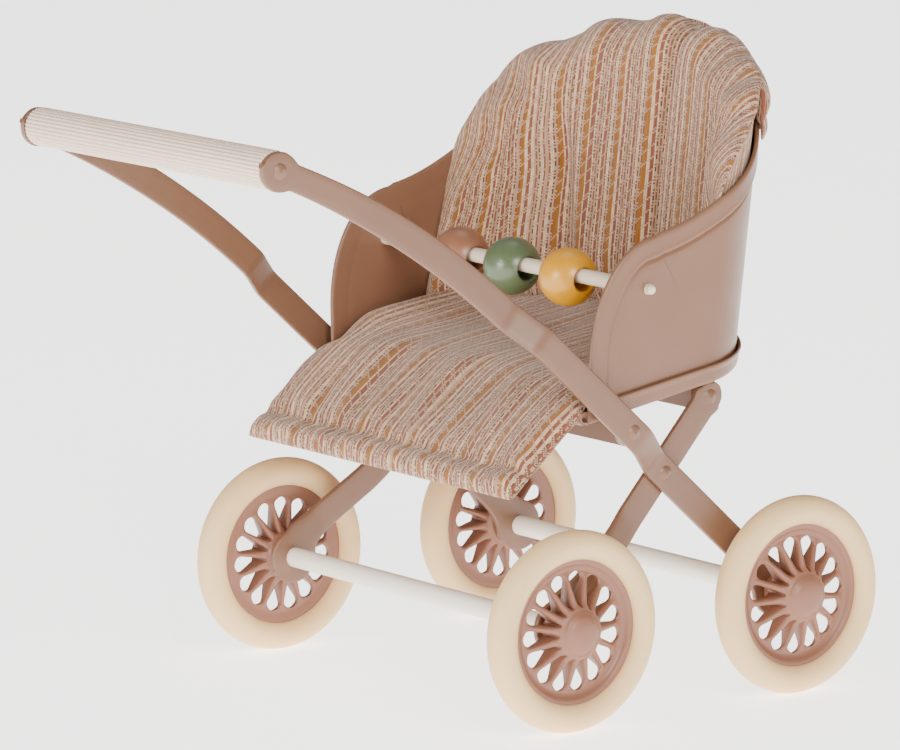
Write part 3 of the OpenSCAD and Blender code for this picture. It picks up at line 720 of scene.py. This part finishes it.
def shell_top(g):
    """Height of the sheet's top edge: a wave up over the back, armrests beside it, and a round front corner."""
    g = abs(g)
    wave = (1 + math.cos(math.radians(min(180 * g / WAVE_HALF, 180)))) / 2
    corner = min(max((g - GIRTH_END + CORNER_W) / CORNER_W, 0), 1)
    return ARMREST_Z + (BACK_TOP_Z - ARMREST_Z) * wave - CORNER_DROP * (1 - math.sqrt(1 - corner * corner))


def shell_foot(g):
    """Height of the sheet's lower edge, just inside the pan's tilted rim."""
    return RIM_TOP + at_girth(g, SHELL_BASE_Z, 0)[1] * TILT - RIM_BAND + SEAT_T + 0.15


def free_edge():
    """The sheet's free edge in (girth, height), from the left front foot over the top to the right one."""
    right = [(g, shell_top(g)) for g in np.linspace(0, GIRTH_END - CORNER_W, 90)]
    right += [(GIRTH_END - CORNER_W * (1 - math.sin(a)), ARMREST_Z - CORNER_DROP * (1 - math.cos(a)))
              for a in np.linspace(0, math.pi / 2, 40)[1:]]
    right += [(GIRTH_END, z) for z in np.linspace(ARMREST_Z - CORNER_DROP, shell_foot(GIRTH_END), 10)[1:]]
    return [(-g, z) for g, z in reversed(right)] + right[1:]


# Section across the sheet's edge, as (distance in from the edge, inset): a hem pressed proud of the outside
HEM_W, SHEET_ROWS = 5.6, 22
HEM = [
    (HEM_W, 0.0), (4.6, 0.0), (4.25, 0.05), (4.05, 0.2), (3.9, 0.24), (3.75, 0.06), (3.6, -0.28),
    (3.35, -0.46), (3.0, -0.40), (2.4, -0.34), (1.2, -0.36), (0.6, -0.34), (0.25, -0.26), (0.08, -0.1),
    (0.0, 0.1), (0.08, 0.36), (0.3, 0.48), (0.8, 0.5), (2.0, 0.5), (3.4, 0.5), (3.8, 0.46), (4.2, 0.5),
    (HEM_W, 0.5),
]


def seat_shell():
    """The bent sheet: outside from the foot up, over the hem at its free edge, and down the inside."""
    edge, _ = resample(free_edge(), 0.7)
    n = len(edge)
    way = np.gradient(edge, axis=0)
    way /= np.linalg.norm(way, axis=1)[:, None]
    inward = np.stack([way[:, 1], -way[:, 0]], axis=1)
    inward[0] = inward[1] = (1, 0)
    inward[-1] = inward[-2] = (-1, 0)

    def inside_edge(distance):
        flat = edge + inward * distance
        flat[:, 1] = np.maximum(flat[:, 1], [shell_foot(g) for g in flat[:, 0]])
        return flat

    hem_line = inside_edge(HEM_W)
    foot_g = np.linspace(edge[0][0] + HEM_W, edge[-1][0] - HEM_W, n)
    foot_line = np.stack([foot_g, [shell_foot(g) for g in foot_g]], axis=1)
    flats = [(hem_line + (foot_line - hem_line) * k / SHEET_ROWS, 0.0) for k in range(SHEET_ROWS, 0, -1)]
    flats += [(inside_edge(distance), inset) for distance, inset in HEM]
    flats += [(hem_line + (foot_line - hem_line) * k / SHEET_ROWS, SEAT_T) for k in range(1, SHEET_ROWS + 1)]
    rows = [[at_girth(g, z, inset) for g, z in flat] for flat, inset in flats]
    points, faces = skin(rows, closed_rows=False, caps=False)
    last = (len(rows) - 1) * n
    faces += [(last + j, last + j + 1, j + 1, j) for j in range(n - 1)]
    faces.append(tuple(range(last, -1, -n)))
    faces.append(tuple(range(n - 1, last + n, n)))
    make("bucket_shell", points, faces, SEAT_PAINT, "seat_paint", ["seat_shell"], 60)


# Section of the pan's wall as (inset from the sheet's outside, height above the pan's underside), from the
# floor's top over the pressed lip to the underside
PAN_WALL = [
    (7, 0.55), (2, 0.55), (0.1, 0.55), (-0.06, 0.62), (-0.1, 0.85), (-0.1, 2.2), (-0.26, 2.8), (-0.42, 3.1),
    (-0.62, 3.22), (-0.84, 3.08), (-0.92, 2.8), (-0.84, 2.5), (-0.66, 2.25), (-0.6, 1.9), (-0.6, 0.95),
    (-0.5, 0.4), (-0.2, 0.1), (0.3, 0), (1.2, 0), (2, 0), (7, 0),
]
PAN_END_T = 91.028
CURL_R, CURL_WALL, CURL_INSET = 1.2, 0.5, 0.02
CURL_TURN = np.linspace(-1.2, 4.2, 40)


def on_pan(side, t, inset, height):
    """A point of the pan: inset from the sheet's outside, at a height above the pan's sloping underside."""
    y = on_shell(side, t, RIM_TOP, inset)[1]
    return on_shell(side, t, PAN_UNDER + y * TILT + height, inset)


def seat_pan():
    """The tray, one section swept round its rim and closed by a flat floor above and below."""
    turns = np.concatenate([np.linspace(0, 90, 61), np.linspace(90, PAN_END_T, 20)[1:]])
    columns = [(-1, t) for t in turns[::-1]] + [(1, t) for t in turns[1:]]
    rows = [[on_pan(side, t, inset, height) for side, t in columns] for inset, height in PAN_WALL]
    points, faces = skin(rows, closed_rows=False, caps=False)
    m = len(columns)
    last = (len(rows) - 1) * m
    faces += [tuple(range(m)), tuple(range(last + m - 1, last - 1, -1))]
    faces += [tuple(range(0, last + 1, m)), tuple(range(last + m - 1, 0, -m)), (last, 0, m - 1, last + m - 1)]
    make("pan_tray", points, faces, SEAT_PAINT, "seat_paint", ["seat_pan", "shell_rivets"])


def pan_curl():
    """The pan's rolled front edge."""
    centre_y = SEAT_FRONT_Y - CURL_R - 0.05
    centre_z = PAN_UNDER + SEAT_FRONT_Y * TILT + CURL_R - 0.16
    around = [(CURL_R - CURL_INSET, a) for a in CURL_TURN] + [(CURL_R - CURL_WALL, a) for a in CURL_TURN[::-1]]
    loop = [(centre_y + r * math.cos(a), centre_z + r * math.sin(a)) for r, a in around]
    half = SEAT_HALF_W - 0.2
    stations = (-half, -half + 0.2, *np.linspace(-half + 1, half - 1, 20), half - 0.2, half)
    rows = [[(x, y, z) for y, z in loop] for x in stations]
    make("pan_front_curl", *skin(rows), SEAT_PAINT, "seat_paint")


# ---- Beads ----


BEAD_R, BEAD_HOLE_R = 4.9, 1.95
# The hole's rounded rim, as (beyond the hole's radius, depth)
BEAD_RIM = [(0.12, 0.10), (0.02, 0.22), (0, 0.45)]


def bead(color):
    """A turned bead with a wide hole whose rim is rounded over."""
    node = f"bead_{color}"
    start = math.asin((BEAD_HOLE_R + 0.35) / BEAD_R)
    face = BEAD_R * math.cos(start)
    profile = [(BEAD_R * math.sin(a), -BEAD_R * math.cos(a)) for a in np.linspace(start, math.pi - start, 40)]
    profile += [(BEAD_HOLE_R + out, face - depth) for out, depth in BEAD_RIM]
    profile += [(BEAD_HOLE_R + out, depth - face) for out, depth in reversed(BEAD_RIM)]
    points, faces = lathe(profile, 96)
    points = along_x(points, 1, middle(node) - Vector((0, SHIFT, LIFT)))
    make(f"turned_bead_{color}", points, faces, BEAD_PAINTS[color], node, [node], 50, f"{color}_bead")


# ---- Pads ----


# Cloth simulation. It runs at ten times the real size, where its lengths suit the solver
SIM_SCALE, SIM_FRAMES, SIM_PRESSURE, SIM_GROWTH, SIM_STIFFNESS = 10.0, 18, 2.0, 0.03, 12.0


def coordinates(mesh):
    out = np.empty(len(mesh.vertices) * 3, np.float32)
    mesh.vertices.foreach_get("co", out)
    return out.reshape(-1, 3).astype(float)


def puff(obj, held, cap):
    """Blows a closed pad up with Blender's cloth.

    held is each vertex's pin weight, and no point moves further than cap, in metres.
    """
    rest = coordinates(obj.data)
    dummy = place_object("cloth_run", obj.data.copy())
    dummy.data.vertices.foreach_set("co", (rest * SIM_SCALE).astype(np.float32).ravel())
    group = dummy.vertex_groups.new(name="held")
    for i in np.flatnonzero(held):
        group.add([int(i)], float(held[i]), "REPLACE")
    cloth = dummy.modifiers.new("cloth", "CLOTH")
    settings = cloth.settings
    settings.quality = 6
    settings.mass = 0.15
    settings.tension_stiffness = settings.compression_stiffness = SIM_STIFFNESS
    settings.shear_stiffness = SIM_STIFFNESS / 2
    settings.bending_stiffness = 0.08
    settings.use_pressure = True
    settings.uniform_pressure_force = SIM_PRESSURE
    settings.shrink_min = settings.shrink_max = -SIM_GROWTH
    settings.vertex_group_mass = "held"
    settings.effector_weights.gravity = 0.0
    cloth.collision_settings.use_collision = False
    cloth.point_cache.frame_start, cloth.point_cache.frame_end = 1, SIM_FRAMES
    scene = bpy.context.scene
    for n in range(1, SIM_FRAMES + 1):
        scene.frame_set(n)
    shaped = dummy.evaluated_get(bpy.context.evaluated_depsgraph_get())
    moved = coordinates(shaped.data) / SIM_SCALE - rest
    size = np.linalg.norm(moved, axis=1)
    moved *= (cap * np.tanh(size / cap) / np.maximum(size, 1e-12))[:, None]
    scene.frame_set(1)
    bpy.data.objects.remove(dummy)
    obj.data.vertices.foreach_set("co", (rest + moved).astype(np.float32).ravel())
    obj.data.update()


def width_along(lines):
    """Each point's place across the cloth: the length along its own surface from the middle column."""
    step = np.linalg.norm(np.diff(np.asarray(lines, float), axis=0), axis=2)
    run = np.concatenate([np.zeros((1, step.shape[1])), np.cumsum(step, axis=0)])
    return run - run[len(lines) // 2]


def make_pad(name, points, faces, places, node):
    """A pad of the striped cloth. places holds each point's place on the flat cloth, in millimetres."""
    obj = make(name, points, faces, CLOTH, "striped_cloth", [node], 180)
    attribute = obj.data.attributes.new("cloth_at", "FLOAT_VECTOR", "POINT")
    attribute.data.foreach_set("vector", np.asarray(places, np.float32).ravel())
    return obj


def finish_pad(obj):
    smoother = obj.modifiers.new("smooth", "SUBSURF")
    smoother.levels = smoother.render_levels = 1


# The seat part's middle in side view, from the back of the pan over the curl to the flap's edge
SEAT_PATH = [
    (27.5, 57.6), (12, 55.2), (0, 53.5), (-8, 52.5), (-13, 51.9), (-15.4, 51.2), (-18.5, 49.0), (-24, 44.4),
    (-31.4, 38.1),
]
SEAM_AT, STRIPE_SHIFT, SEAT_ALONG = 5.2, 2.6, 30


def seat_thickness(x, run, from_front, swell, on_top):
    """Thickness above or below the pad's middle: drawn in along the seam, with puckers and slow lumps."""
    seam = bell(from_front - SEAM_AT, 0.75)
    pucker = math.sin(x * 1.9 + 0.8 * math.sin(x * 0.37)) * bell(from_front - SEAM_AT, 2.4)
    lumps = 0.22 * math.sin(x * 0.31 + 1.3) * math.sin(run * 0.17 + 0.4)
    lumps += 0.14 * math.sin(x * 0.63 - run * 0.11)
    return 0.25 + (1.65 if on_top else 1.0) * swell * (1 - 0.78 * seam) + swell * (0.16 * pucker + lumps)


def seat_pad():
    """The seat part: a thin pad in the pan whose front hangs over the curl as a flap with a sewn channel."""
    line, run = resample(SEAT_PATH, 1.0)
    for _ in range(2):
        line[1:-1] = (line[:-2] + 2 * line[1:-1] + line[2:]) / 4
    n, m = len(line), 73
    points, places, held = (np.zeros((2, n, m, size)) for size in (3, 3, 1))
    for i, (y, z) in enumerate(line):
        way = line[min(i + 1, n - 1)] - line[max(i - 1, 0)]
        way /= np.linalg.norm(way)
        up = np.array([way[1], -way[0]])
        reach = SEAT_HALF_W - 1.7
        if y > SEAT_ROUND_Y:
            reach *= math.sqrt(max(1 - ((y - SEAT_ROUND_Y) / (SEAT_ROUND - 1.6)) ** 2, 0.05))
        reach += 1.9 * smooth((-13.0 - y) / 5.0)
        from_front = run[-1] - run[i]
        for j, x in enumerate(np.linspace(-1, 1, m) * reach):
            e = min(reach - abs(x), from_front, run[i])
            pushed_up = 2.6 * smooth((abs(x) - 22) / 11) * smooth((y + 15) / 8)
            for under, sign in enumerate((1, -1)):
                thick = seat_thickness(x, run[i], from_front, edge_round(e, 2.6), not under)
                if under and y > -14:
                    thick = min(thick, 1.0)
                offset = up * thick * sign
                points[under, i, j] = (x, y + offset[0], z + offset[1] + pushed_up)
                places[under, i, j] = (x + STRIPE_SHIFT, run[i] + SEAT_ALONG, sign)
                held[under, i, j] = under or e < 0.9 or bell(from_front - SEAM_AT, 0.75) > 0.6
    places[0, :, :, 0] = width_along(points[0].swapaxes(0, 1)).T + STRIPE_SHIFT
    faces = []
    low = n * m
    for i in range(n - 1):
        for j in range(m - 1):
            a = i * m + j
            faces.append((a, a + 1, a + m + 1, a + m))
            faces.append((low + a + m, low + a + m + 1, low + a + 1, low + a))
    border = [*range(m - 1), *range(m - 1, low - 1, m), *range(low - 1, low - m, -1), *range(low - m, 0, -m)]
    for a, b in zip(border, border[1:] + border[:1]):
        faces.append((b, a, low + a, low + b))
    obj = make_pad("seat_pad", points.reshape(-1, 3), faces, places, "seat_cushion")
    puff(obj, held.ravel(), 1.1 * MM)
    finish_pad(obj)


# The back part: half its girth, its foot, how far it stands in, its top at the sides and in the middle, and how
# much its girth grows for each millimetre below GIRTH_Z
PAD_REACH, PAD_LOW, PAD_THICK, PAD_SIDE_Z, PAD_TOP_Z, PAD_SPREAD = 46.0, 58.0, 7.0, 79.3, 106.7, 0.22
PAD_INSET = SEAT_T + 0.45
BACK_ALONG, BACK_ROLL_RUN, HOOD_ALONG = 118, 8, 175
# Its section, as (stretch, share of the stretch): up against the sheet, over the top edge and down the front
BACK_LOOP = [("against", s) for s in np.linspace(0, 1, 16)]
BACK_LOOP += [("roll", s) for s in np.linspace(0, 1, 14)[1:]]
BACK_LOOP += [("front", s) for s in np.linspace(1, 0, 44)[1:]]


def pad_top(g):
    """Height of the padded back's top edge, which stands up above the bucket's wave, a little gathered."""
    arch = math.sqrt(max(1 - (g / (PAD_REACH + 0.3)) ** 2, 0))
    return PAD_SIDE_Z + (PAD_TOP_Z - PAD_SIDE_Z) * arch + 0.45 * math.cos(0.393 * (g + 2))


def pad_thickness(g, z, reach):
    """How far the back pad's front stands in from the shell: full in each panel, less along the folds."""
    middle_fold = 2.5 * bell(g - 4.5 - 0.03 * (z - GIRTH_Z), 2.6)
    left_fold = 2.2 * bell(g + 21.5 + 0.12 * (z - 75), 2.2) * smooth((96 - z) / 14)
    right_fold = 1.2 * bell(g - 30, 3.0)
    full = PAD_THICK - middle_fold - left_fold - right_fold
    return max(full * edge_round(reach - abs(g), 7.0) ** 0.8, 0.9)


def back_place(c, stretch, share):
    """(girth, height, inset, whether held, length along the cloth) of a point, c of the way round."""
    top = pad_top(c * PAD_REACH)
    z = PAD_LOW + (top - PAD_LOW) * (share if stretch != "roll" else 1)
    reach = PAD_REACH + PAD_SPREAD * max(GIRTH_Z - z, 0)
    g = c * reach
    depth = pad_thickness(g, z, reach) - PAD_INSET
    extra = 0
    if stretch == "against":
        inset, held = PAD_INSET, True
        z = PAD_LOW + (top - 0.6 - PAD_LOW) * share
    elif stretch == "roll":
        a = math.pi * share
        inset = PAD_INSET + depth * (1 - math.cos(a)) / 2 - 0.9 * (1 - share)
        z = top - 0.5 + (0.9 + 0.42 * depth) * max(math.sin(a), 0) ** 0.8 - 1.6 * share
        held = share < 0.08
        extra = BACK_ROLL_RUN * (1 - share)
    else:
        inset = PAD_INSET + depth * (0.35 + 0.65 * edge_round((share + 0.02) * 45, 12))
        z = PAD_LOW + (top - 2.1 - PAD_LOW) * share
        held = share < 0.03
    return g, z, inset, held or reach - abs(g) < 0.8, BACK_ALONG + (z - PAD_LOW) + extra


def back_pad():
    """The back part: a thick pad against the inside of the bucket that rolls over the top edge into a seam."""
    columns = [-1, -0.99, -0.97, -0.94, *np.linspace(-0.91, 0.91, 81), 0.94, 0.97, 0.99, 1]
    loops = [[back_place(c, stretch, share) for stretch, share in BACK_LOOP] for c in columns]
    rows = [[at_girth(g, z, inset) for g, z, inset, _, _ in loop] for loop in loops]
    places = np.ones((len(rows), len(BACK_LOOP), 3))
    places[:, :, 0] = width_along(rows)
    places[:, :, 1] = [[along for *_, along in loop] for loop in loops]
    obj = make_pad("back_pad", *skin(rows), places, "back_cushion")
    puff(obj, np.ravel([[held for _, _, _, held, _ in loop] for loop in loops]), 1.2 * MM)
    finish_pad(obj)


HOOD_REACH, HOOD_LOW, HOOD_MIDDLE = 32.0, 92.0, -0.7


def hood():
    """Doubled cloth that runs from the pad's seam over the bucket's top edge to a folded hem behind it."""
    rows, places = [], []
    for c in np.linspace(-1, 1, 77):
        g = c * HOOD_REACH
        edge, top = shell_top(g), pad_top(g)
        end = edge_round((1 - abs(c)) * HOOD_REACH, 1.2)
        wave = 0.18 * math.sin(g * 0.55) + 0.12 * math.sin(g * 1.3 + 1)
        low = min(HOOD_LOW, edge - 2.2) + 0.35 * math.sin(g * 0.21 + 0.5)
        over = [(1.7, 0.35), (1.2, 0.75), (0.5, 0.7), (-0.3, 0.1), (-0.95, -0.9)]
        fall = [(-1.3 - 0.55 * math.sin(math.pi * s) - wave * s, top - 1.6 + (low + 3.4 - top + 1.6) * s)
                for s in np.linspace(0, 1, 11)]
        hem = [(-1.25, 3.0), (-1.45, 2.5), (-1.85, 1.4), (-1.75, 0.5), (-1.3, 0.05)]
        outside = [(inset, top + rise) for inset, rise in over] + fall
        outside += [(inset - wave, low + rise) for inset, rise in hem]
        inside = [(-0.75 - wave * 0.6, low + 0.2), (-0.5, low + 1.4)]
        inside += [(-0.42, low + 1.4 + (edge + 0.3 - low - 1.4) * s) for s in np.linspace(0, 1, 9)[1:]]
        inside += [(-0.2, edge + 0.7), (0.4, edge + 1.1)]
        inside += [(0.5, edge + 1.6 + (top - 1.2 - edge - 1.6) * s) for s in (0, 0.5, 1)]
        # The two ends close to the middle of the doubled cloth
        thin = 1 if end >= 1 else max(end, 0.3)
        loop = [(HOOD_MIDDLE + (inset - HOOD_MIDDLE) * thin, z) for inset, z in outside + inside]
        rows.append([at_girth(g, z, inset) for inset, z in loop])
        places.append([(g, HOOD_ALONG + (top - z) * (1 if k < len(outside) else -1), 1)
                       for k, (_, z) in enumerate(loop)])
    finish_pad(make_pad("pad_hood", *skin(rows), places, "cushion_hood"))


# ---- The camera, the lights and the floor ----

# The view fitted to the wheels, the axles and the handle: place in millimetres, and angles in degrees
CAMERA_AT = (852.234, -657.371, 238.628)
CAMERA_AZIMUTH, CAMERA_ELEVATION, CAMERA_ROLL = 53.03, 9.93, -0.29
LENS, SENSOR_W = 260.0, 36.0
LIGHT_SIZE, FLOOR_HALF = 0.5, 6


def camera():
    azimuth, elevation, roll = (math.radians(a) for a in (CAMERA_AZIMUTH, CAMERA_ELEVATION, CAMERA_ROLL))
    level = math.cos(elevation)
    back = Vector((math.sin(azimuth) * level, -math.cos(azimuth) * level, math.sin(elevation)))
    right = Vector((0, 0, 1)).cross(back).normalized()
    up = back.cross(right)
    rolled_right = math.cos(roll) * right + math.sin(roll) * up
    rolled_up = -math.sin(roll) * right + math.cos(roll) * up
    data = bpy.data.cameras.new("camera")
    data.lens, data.sensor_width = LENS, SENSOR_W
    data.clip_start, data.clip_end = 0.05, 20
    cam = place_object("camera", data)
    turn = Matrix((rolled_right, rolled_up, back)).transposed()
    at = (Vector(CAMERA_AT) + Vector((0, SHIFT, LIFT))) * MM
    cam.matrix_world = Matrix.Translation(at) @ turn.to_4x4()
    bpy.context.scene.camera = cam


def area_light(name, at, aim, power, tint=(1, 1, 1)):
    data = bpy.data.lights.new(name, "AREA")
    data.shape, data.size, data.energy, data.color = "DISK", LIGHT_SIZE, power, tint
    light = place_object(name, data)
    light.location = at
    light.rotation_euler = (Vector(aim) - Vector(at)).to_track_quat("-Z", "Y").to_euler()


def studio():
    """Soft light from three sides over a pale floor that glows a little."""
    world = bpy.data.worlds.new("studio")
    bpy.context.scene.world = world
    world.use_nodes = True
    background = world.node_tree.nodes["Background"]
    background.inputs["Color"].default_value = (1.0, 0.99, 0.975, 1)
    background.inputs["Strength"].default_value = 0.3
    area_light("key", (0.9, -0.25, 0.45), (0, 0, 0.05), 8.0, (1, 0.985, 0.96))
    area_light("front", (0.05, -1.05, 0.32), (0, 0, 0.07), 9.0)
    area_light("top", (-0.2, 0.2, 0.95), (0, 0, 0.06), 0.8)

    m = Nodes("pale_floor", Roughness=0.9, Emission_Color=(1.0, 0.995, 0.985, 1.0), Emission_Strength=2.6)
    m.base(m.tone(m.noise(m.position(), 6, 3), (0.3, rgb(246, 244, 241)), (0.7, rgb(250, 249, 247))))
    mesh = bpy.data.meshes.new("floor")
    corners = [(x * FLOOR_HALF, y * FLOOR_HALF, 0) for x, y in ((-1, -1), (1, -1), (1, 1), (-1, 1))]
    mesh.from_pydata(corners, [], [(0, 1, 2, 3)])
    mesh.materials.append(m.material)
    floor = place_object("floor", mesh)


# CAD nodes whose own shape is shown, and their materials
CAD_FINISH = {
    "front_crossbar": FRAME_PAINT, "rear_crossbar": FRAME_PAINT, "handle_rod_heads": FRAME_PAINT,
    "arm_rivets": FRAME_PAINT, "leg_rivets": FRAME_PAINT, "crossing_rivets": FRAME_PAINT,
    "handle_rod": STEEL, "pan_rivets": SEAT_PAINT, "rear_spacers": RIM_PAINT, "bead_bar": BAR_CREAM,
    "bead_bar_heads": BAR_CREAM, "front_axle": AXLE_CREAM, "rear_axle": AXLE_CREAM,
}


def finish_cad():
    for node, material in CAD_FINISH.items():
        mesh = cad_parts[node].data
        mesh.materials.clear()
        mesh.materials.append(material)


camera()
studio()
finish_cad()
for n, (end, side_name) in enumerate((end, side) for end in ("front", "rear") for side in SIDES):
    wheel(end, side_name, WHEEL_TURN * n)
arms_and_legs()
grip()
seat_shell()
seat_pan()
pan_curl()
for color in BEAD_PAINTS:
    bead(color)
seat_pad()
back_pad()
hood()
